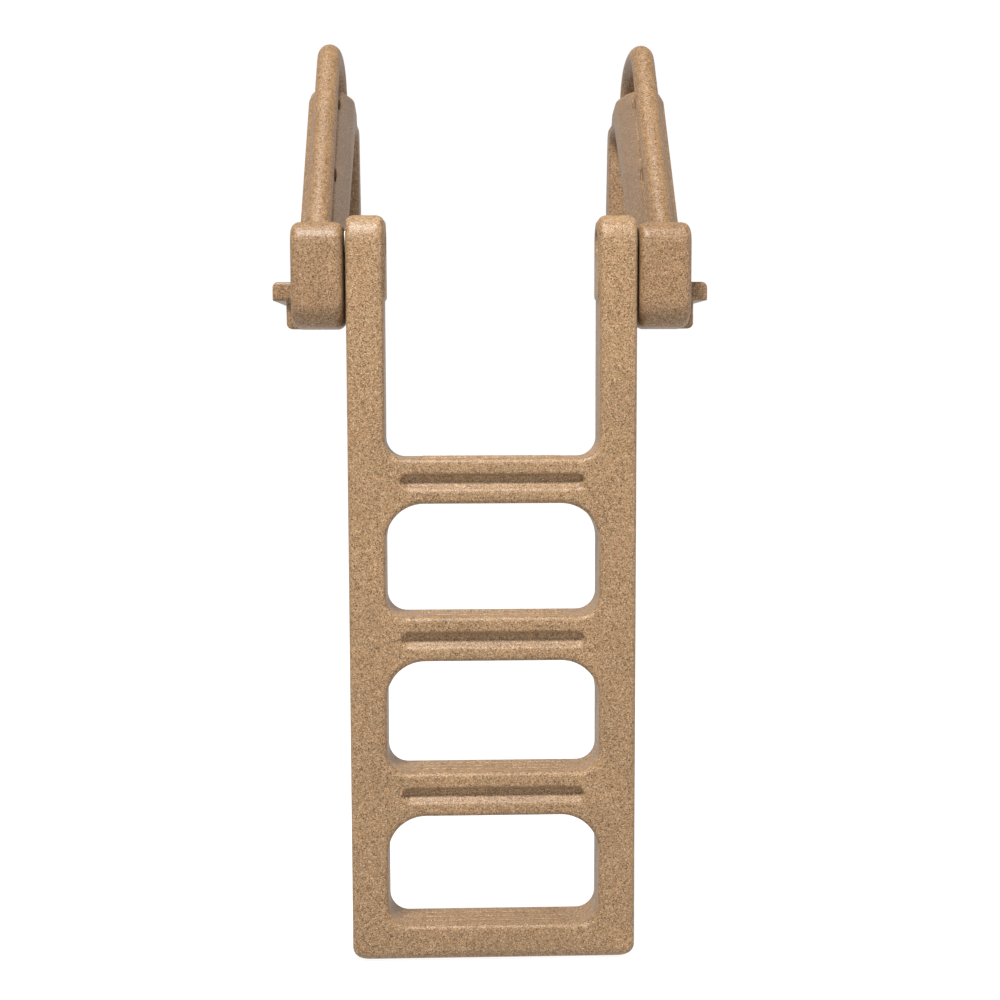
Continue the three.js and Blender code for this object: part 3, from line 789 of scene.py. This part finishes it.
def rear_fittings(side, word):
    """The ribbed rubber bumper with its screw, and both slotted plugs, on one upright's rear."""
    x = side * UPRIGHT_X
    face = LADDER_REAR + 0.3
    back = face + BUMPER_LENGTH
    bumper = [
        (face, 20.8, None), (face + 1.2, 22, None), (face + 5, 22, None), (face + 6, 20.9, None),
        (face + 8, 20.9, None), (face + 9, 22, None), (face + 13, 22, None), (face + 14, 20.9, None),
        (face + 16, 20.9, None), (face + 17, 22, None), (face + 21, 21.7, None),
        (face + 25, 20.4, None), (back - 0.8, 17.6, None), (back, 14, None), (back, 9.2, None),
        (back - 1.2, 8, None), (face + 10, 8, None), (face + 10, 3.4, None), (face, 3.4, None),
    ]
    turned(f"{word}_ribbed_bumper", bumper, from_rear(x, BUMPER_Z), "ladder", "rubber",
           f"{word}_wall_bumper")
    screw = [
        (LADDER_REAR - 28, 0.8, None), *thread(LADDER_REAR - 26, face + 4, 2.8, 2.2, 0.7),
        (face + 6, 2.4, None), (face + 10.3, 2.4, None), (face + 10.3, 5.6, None),
        (face + 11, 6, None), (face + 12.6, 5.6, None), (face + 13.8, 4.2, None),
        (face + 14.3, 2.2, None),
    ]
    name = f"{word}_pan_screw"
    blank = lathe(name, solid_rings(screw), from_rear(x, BUMPER_Z), 32)
    for across, tall in ((4.2, 0.55), (0.55, 4.2)):
        blank = cut_slot(
            blank, ((x - across) * MM, (face + 12.4) * MM, (BUMPER_Z - tall) * MM),
            ((x + across) * MM, (face + 15) * MM, (BUMPER_Z + tall) * MM))
    add_object(name, blank, "ladder", STEEL, [f"{word}_bumper_screw"])
    for kind, z in PLUG_HEIGHTS:
        low, high = LADDER_REAR - 9.7, LADDER_REAR - 0.2
        plug = [
            (low, 14, None), (low + 0.8, 14.8, None), (high - 1.4, 15, None),
            (high - 0.4, 14.6, None), (high, 13.8, None), (high, 12.2, None),
            (high - 1, 11.6, None), (high - 1, 4, None),
        ]
        name = f"{word}_{kind}_slotted_plug"
        disc = lathe(name, solid_rings(plug), from_rear(x, z))
        disc = cut_slot(disc, ((x - 9) * MM, (LADDER_REAR - 4) * MM, (z - 1.5) * MM),
                        ((x + 9) * MM, (LADDER_REAR + 2) * MM, (z + 1.5) * MM))
        add_object(name, disc, "ladder", TRIM, [f"{word}_{kind}_plug"])


for side, word in SIDES:
    hinge_hardware(side, word)
    for where, y in zip(("front", "middle", "rear"), DECK_SCREW_Y):
        deck_screw(side, word, where, y)
    rear_fittings(side, word)


def tread_ridges():
    """Low rounded ridges along the top of every tread and of the bottom rail."""
    mesh = bmesh.new()
    middle = (LADDER_FRONT + LADDER_REAR) / 2
    for i in range(TREADS + 1):
        top = FIRST_TREAD - i * RUNG_PITCH
        for k in (-1, 0, 1):
            ridge(mesh, middle + RIDGE_PITCH * k, top)
    return finished("tread_ridges", mesh, 50)


def ridge(mesh, y, top):
    """One ridge, half-round in section with ends that run out."""
    rings = []
    steps = 8
    for along in np.linspace(-1, 1, 25):
        x = RIDGE_HALF * along
        rise = min(1, (1 - abs(along)) * 12)
        rise = math.sqrt(max(rise * (2 - rise), 0.02))
        ring = []
        for k in range(steps + 1):
            angle = math.pi * k / steps
            ring.append(mesh.verts.new(Vector((
                x, y + 2.2 * math.cos(angle) * (0.5 + 0.5 * rise),
                top - 0.8 + (0.8 + 1.5) * math.sin(angle) * rise)) * MM))
        rings.append(ring)
    for first, second in zip(rings[:-1], rings[1:]):
        for k in range(steps + 1):
            nxt = (k + 1) % (steps + 1)
            mesh.faces.new((first[k], first[nxt], second[nxt], second[k]))
    mesh.faces.new(rings[0][::-1])
    mesh.faces.new(rings[-1])
    bmesh.ops.recalc_face_normals(mesh, faces=mesh.faces)


add_object("tread_ridges", tread_ridges(), "ladder", LADDER_RESIN)

# ---------------------------------------------------------------- floor, light and camera

def add_floor():
    mesh = bpy.data.meshes.new("floor")
    reach = 30.0
    level = LADDER_BOTTOM * MM - 0.002
    mesh.from_pydata(
        [(-reach, -reach, level), (reach, -reach, level), (reach, reach, level), (-reach, reach, level)],
        [], [(0, 1, 2, 3)])
    floor = bpy.data.objects.new("floor", mesh)
    bpy.context.scene.collection.objects.link(floor)
    material, _, _, shader = base_material("floor", 0.9)
    shader.inputs["Base Color"].default_value = (0.2, 0.2, 0.2, 1)
    shader.inputs["Emission Color"].default_value = (1, 1, 1, 1)
    shader.inputs["Emission Strength"].default_value = 0.92
    mesh.materials.append(material)


def add_area(name, place, target, size, power):
    light = bpy.data.lights.new(name, "AREA")
    light.shape = "DISK"
    light.size = size
    light.energy = power
    lamp = bpy.data.objects.new(name, light)
    bpy.context.scene.collection.objects.link(lamp)
    lamp.location = place
    lamp.rotation_mode = "QUATERNION"
    lamp.rotation_quaternion = (Vector(target) - Vector(place)).to_track_quat("-Z", "Y")


def add_camera():
    """Level with the top of the ladder, a little left of its middle, looking slightly down."""
    pitch = math.radians(4.935)
    yaw = math.radians(1.872)
    roll = math.radians(-0.155)
    ahead = Vector((math.sin(yaw) * math.cos(pitch), math.cos(yaw) * math.cos(pitch), -math.sin(pitch)))
    level = Vector((math.cos(yaw), -math.sin(yaw), 0))
    above = level.cross(ahead)
    right = level * math.cos(roll) + above * math.sin(roll)
    up = above * math.cos(roll) - level * math.sin(roll)
    data = bpy.data.cameras.new("camera")
    data.sensor_width = 36
    data.lens = 54
    camera = bpy.data.objects.new("camera", data)
    bpy.context.scene.collection.objects.link(camera)
    turn = Matrix((right, up, -ahead)).transposed()
    camera.matrix_world = Matrix.Translation((-0.066, -2.474, -0.1126)) @ turn.to_4x4()
    bpy.context.scene.camera = camera


def add_world():
    """A white room, dimmer above and towards the pool, so that the lamp models the shapes."""
    world = bpy.data.worlds.new("studio")
    world.use_nodes = True
    nodes = world.node_tree.nodes
    links = world.node_tree.links
    place = nodes.new("ShaderNodeTexCoord")
    split = nodes.new("ShaderNodeSeparateXYZ")
    links.new(place.outputs["Generated"], split.inputs["Vector"])
    tone = ramp(nodes, ((0.30, grey(1.0)), (0.60, grey(0.45))))
    links.new(split.outputs["Z"], tone.inputs["Fac"])
    poolward = ramp(nodes, ((0.0, grey(0.6)), (0.4, grey(1.0))))
    links.new(split.outputs["Y"], poolward.inputs["Fac"])
    colour = multiplied(nodes, links, tone.outputs["Color"], poolward.outputs["Color"])
    links.new(colour, nodes["Background"].inputs["Color"])
    nodes["Background"].inputs["Strength"].default_value = 1.02
    bpy.context.scene.world = world


add_floor()
add_area("key", (-1.1, -2.6, 4.0), (0, 0, -0.3), 1.3, 540)
add_area("fill", (2.4, -1.6, 1.2), (0, 0, -0.3), 1.8, 34)
add_world()
add_camera()
bpy.context.scene.view_settings.view_transform = "Standard"
